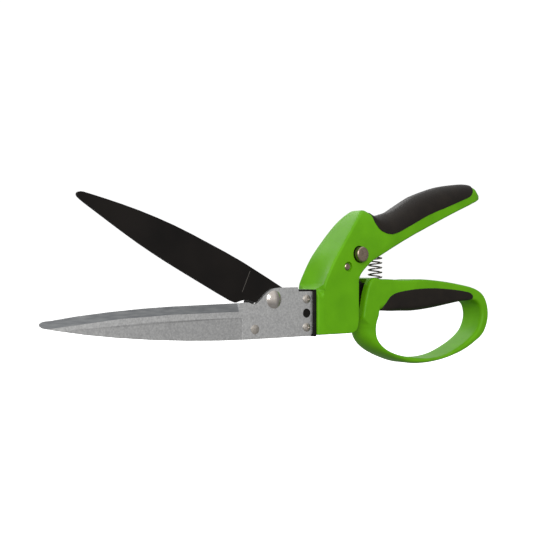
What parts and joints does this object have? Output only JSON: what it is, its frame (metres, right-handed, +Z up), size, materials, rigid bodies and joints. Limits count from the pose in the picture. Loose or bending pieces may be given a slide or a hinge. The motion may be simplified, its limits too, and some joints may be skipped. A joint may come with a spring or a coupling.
{
  "type": "grass shears",
  "caption": "Single-hand grass shears with a swivelling blade head, moulded pistol handle, spring-return loop handle and push-through lock.",
  "frame": {"origin": "centre of the shears' box, stood open with the blades upright", "axes": "+X from the blades to the handles, +Y away from the side that carries the screws and the lock pin's head, +Z up"},
  "size_m": [0.342, 0.0296, 0.1246],
  "materials": {
    "green_plastic": "satin moulded",
    "soft_grip": "matt soft-touch",
    "black_nylon": "moulded",
    "coated_steel": "matt non-stick coating",
    "zinc_steel": "tumbled, zinc grey",
    "bright_steel": "polished",
    "spring_steel": "oiled spring wire"
  },
  "bodies": {
    "housing": {"handle_body": "green_plastic", "upper_grip": "soft_grip", "handle_pin": "bright_steel", "handle_pin_clip": "spring_steel", "spring_seat": "black_nylon", "return_spring": "spring_steel"},
    "lower_handle": {"loop_handle": "green_plastic", "lower_grip": "soft_grip", "lever_plate": "spring_steel"},
    "draw_rod": {"draw_bar": "bright_steel", "draw_bar_pin": "bright_steel"},
    "lock": {"lock_pin": "bright_steel", "lock_pin_clip": "spring_steel"},
    "swivel_head": {"swivel_core": "black_nylon", "core_ring": "spring_steel", "swivel_oring": "soft_grip", "fixed_blade": "zinc_steel", "rear_plate": "zinc_steel", "rivet_spacer": "bright_steel", "plate_rivet": "bright_steel", "plate_screws": "bright_steel", "pivot_bolt": "bright_steel", "wave_washer": "spring_steel", "pivot_nut": "bright_steel"},
    "yoke": {"drive_yoke": "black_nylon"},
    "moving_blade": {"cutting_blade": "coated_steel", "drive_pin": "bright_steel"}
  },
  "joints": [
    {"name": "handle_squeeze", "type": "hinge", "parent": "housing", "child": "lower_handle", "pos_m": [0.0321, 0.00175, 0.0028], "axis": [0, -1, 0], "range_deg": [0, 17], "stiffness_Nm_per_rad": 1, "springref_deg": -20.05, "deforming": ["return_spring"]},
    {"name": "head_swivel", "type": "hinge", "parent": "housing", "child": "swivel_head", "pos_m": [0.0075, 0.00175, -0.0257], "axis": [1, 0, 0], "continuous": true},
    {"name": "lock_push", "type": "slide", "parent": "housing", "child": "lock", "axis": [0, 1, 0], "range_m": [0, 0.0035]},
    {"name": "draw_slide", "type": "slide", "parent": "housing", "child": "draw_rod", "axis": [1, 0, 0], "range_m": [0, 0.0045]},
    {"name": "yoke_slide", "type": "slide", "parent": "swivel_head", "child": "yoke", "axis": [1, 0, 0], "range_m": [0, 0.0045]},
    {"name": "blade_pivot", "type": "hinge", "parent": "swivel_head", "child": "moving_blade", "pos_m": [-0.024, 0.00175, -0.017], "axis": [0, -1, 0], "range_deg": [0, 29.5]}
  ],
  "couplings": [
    {"joint": "draw_slide", "follows": "handle_squeeze", "m_per_rad": 0.014881},
    {"joint": "yoke_slide", "follows": "handle_squeeze", "m_per_rad": 0.014881},
    {"joint": "blade_pivot", "follows": "handle_squeeze", "ratio": 1.7294}
  ]
}
